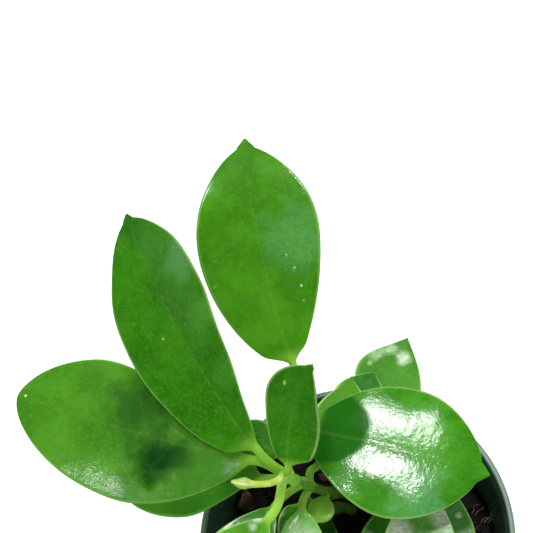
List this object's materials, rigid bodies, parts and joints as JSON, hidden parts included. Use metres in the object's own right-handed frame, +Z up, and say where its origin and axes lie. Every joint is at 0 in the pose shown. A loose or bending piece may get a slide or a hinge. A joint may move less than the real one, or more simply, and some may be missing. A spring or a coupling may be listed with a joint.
{
  "type": "potted wax vine",
  "caption": "Young wax vine with thick glossy oval leaves on short leaning stems, growing in soil in a round plastic nursery pot.",
  "frame": {"origin": "centre of the pot's flat bottom, on the surface it stands on", "axes": "+Z up out of the pot, +Y towards the back of the plant, away from the picture's viewer, +X to the right"},
  "size_m": [0.1995, 0.2141, 0.1604],
  "materials": {
    "pot_plastic": "satin",
    "soil": "matte",
    "stem": "satin",
    "young_shoot": "satin",
    "leaf": "gloss"
  },
  "bodies": {
    "root": {"pot": "pot_plastic", "soil": "soil", "vine_main": "stem", "vine_low": "stem", "vine_back": "stem", "vine_right": "stem", "vine_front": "stem", "vine_front_right": "stem", "young_shoot": "young_shoot", "leaf_left": "leaf", "leaf_upper_left": "leaf", "leaf_top": "leaf", "leaf_crown": "leaf", "leaf_right": "leaf", "leaf_behind": "leaf", "leaf_small_pale": "leaf", "leaf_small_dark": "leaf", "leaf_under_left": "leaf", "leaf_between": "leaf", "leaf_front_left": "leaf", "leaf_front_left_low": "leaf", "leaf_front": "leaf", "leaf_front_low": "leaf", "leaf_round": "leaf", "leaf_front_middle": "leaf", "leaf_front_right": "leaf", "leaf_front_right_low": "leaf", "leaf_far_right": "leaf", "leaf_south": "leaf", "leaf_south_west": "leaf", "leaf_south_east": "leaf", "leaf_south_west_low": "leaf", "leaf_south_low": "leaf", "leaf_east": "leaf", "leaf_south_east_low": "leaf"}
  },
  "joints": []
}
